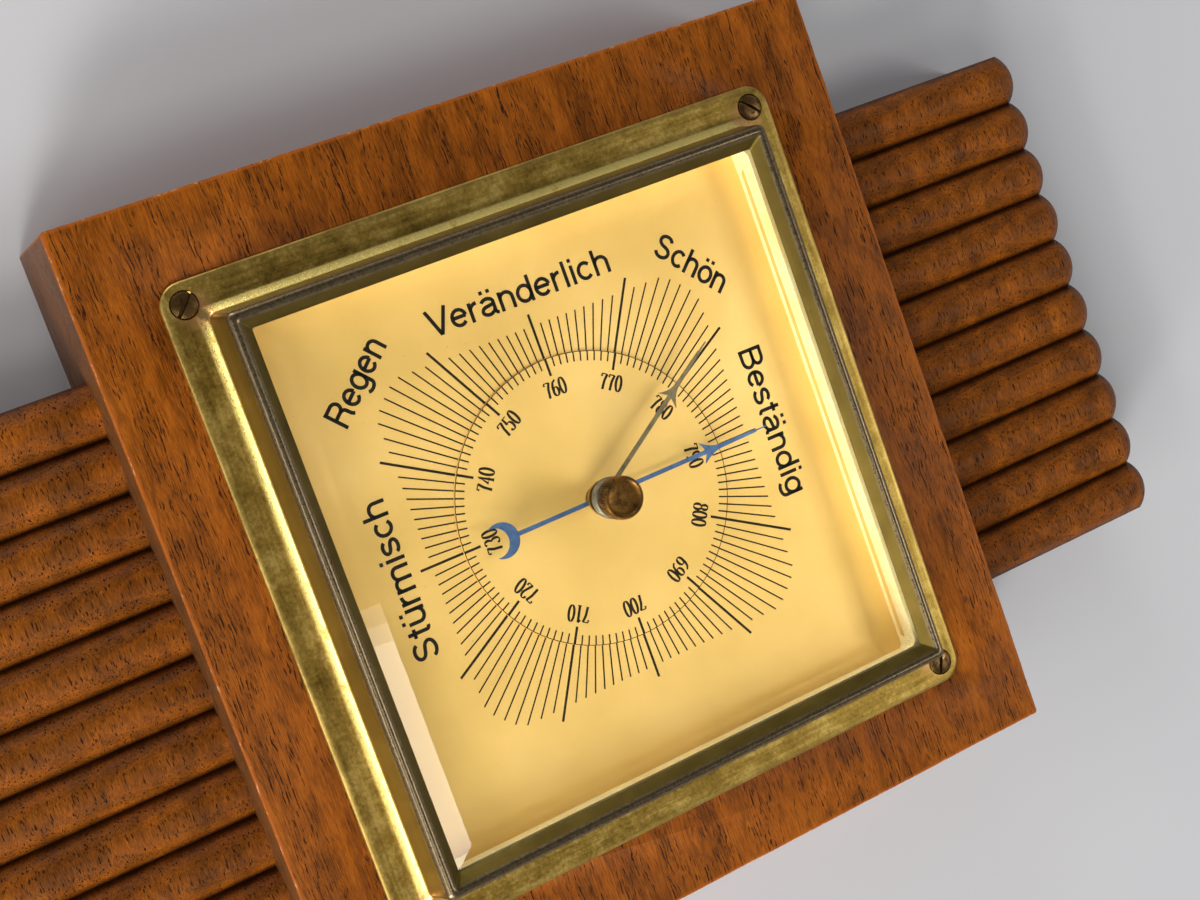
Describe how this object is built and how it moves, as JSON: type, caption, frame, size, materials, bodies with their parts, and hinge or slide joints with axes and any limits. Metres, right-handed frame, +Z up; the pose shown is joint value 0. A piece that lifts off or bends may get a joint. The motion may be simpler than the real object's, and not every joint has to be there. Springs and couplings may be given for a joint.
{
  "type": "wall barometer",
  "caption": "Wall barometer: square brass-framed dial under bevelled glass on a square oak case with a reeded oak wing on each side.",
  "frame": {"origin": "on the axis of the hands, in the plane of the back that lies against the wall", "axes": "+X to the right seen from the front, +Y into the wall, +Z up"},
  "size_m": [0.268, 0.0504, 0.16],
  "materials": {
    "oak": "waxed oak, darkened, worn pale on its edges",
    "inner_wood": "plain stained wood",
    "bezel_brass": "pressed brass, browned with age",
    "plain_brass": "plain brass",
    "glass": "polished bevelled glass",
    "gilt": "polished gilt sheet",
    "dial_gold": "satin gold lacquer with dark print",
    "collar_metal": "dull grey metal",
    "knob_brass": "knurled brass, browned with age",
    "hand_brass": "tarnished brass",
    "blued_steel": "blued steel",
    "movement_brass": "lacquered brass",
    "steel": "plain steel"
  },
  "bodies": {
    "case": {"case_body": "oak", "left_wing": "oak", "right_wing": "oak", "wing_dowels": "inner_wood", "back_cover": "inner_wood", "cover_screws": "plain_brass", "hanger_plate": "plain_brass", "hanger_screws": "plain_brass", "bezel": "bezel_brass", "bezel_screws": "bezel_brass", "glass": "glass", "glass_slip": "gilt", "dial_plate": "dial_gold", "scale_disc": "dial_gold", "dial_feet": "plain_brass", "foot_screws": "steel", "set_bush": "collar_metal", "bush_nut": "plain_brass", "hairspring": "blued_steel", "hairspring_stud": "movement_brass", "arbor_plate": "movement_brass", "plate_pillars": "movement_brass", "plate_screws": "steel", "front_cock": "movement_brass", "cock_pillars": "movement_brass", "cock_screws": "steel", "base_plate": "movement_brass", "capsule": "movement_brass", "capsule_nut": "steel", "spring_bridge": "movement_brass", "bridge_screws": "steel", "spring_clamp": "movement_brass", "clamp_screws": "steel", "rocker_brackets": "movement_brass", "bracket_screws": "steel", "chain": "steel"},
    "pointer_arbor": {"arbor": "steel", "pointer": "blued_steel", "pointer_bush": "movement_brass", "chain_drum": "movement_brass", "hairspring_collet": "movement_brass"},
    "set_spindle": {"set_knob": "knob_brass", "set_hand": "hand_brass"},
    "lever": {"main_spring": "blued_steel", "capsule_post": "movement_brass", "post_nut": "steel", "main_lever": "movement_brass", "lever_screws": "steel", "connecting_link": "steel"},
    "rocker": {"rocking_shaft": "steel", "link_arm": "movement_brass", "chain_arm": "movement_brass"},
    "adjuster": {"adjusting_screw": "steel"}
  },
  "joints": [
    {"name": "pointer_turn", "type": "hinge", "parent": "case", "child": "pointer_arbor", "pos_m": [0, -0.03, 0], "axis": [0, 1, 0], "range_deg": [-300, 30]},
    {"name": "rocker_turn", "type": "hinge", "parent": "case", "child": "rocker", "pos_m": [0, -0.0141, 0.0255], "axis": [-1, 0, 0], "range_deg": [-15, 1.5], "deforming": ["chain"]},
    {"name": "lever_tilt", "type": "hinge", "parent": "case", "child": "lever", "pos_m": [0, -0.0218, -0.024], "axis": [-1, 0, 0], "range_deg": [-1.25, 0.12]},
    {"name": "set_turn", "type": "hinge", "parent": "case", "child": "set_spindle", "pos_m": [0, -0.044, 0], "axis": [0, 1, 0], "continuous": true},
    {"name": "adjuster_turn", "type": "hinge", "parent": "case", "child": "adjuster", "pos_m": [0, -0.006, -0.035], "axis": [0, 1, 0], "range_deg": [-180, 180]}
  ],
  "couplings": [
    {"joint": "rocker_turn", "follows": "pointer_turn", "ratio": 0.05},
    {"joint": "lever_tilt", "follows": "pointer_turn", "ratio": 0.0041667}
  ]
}
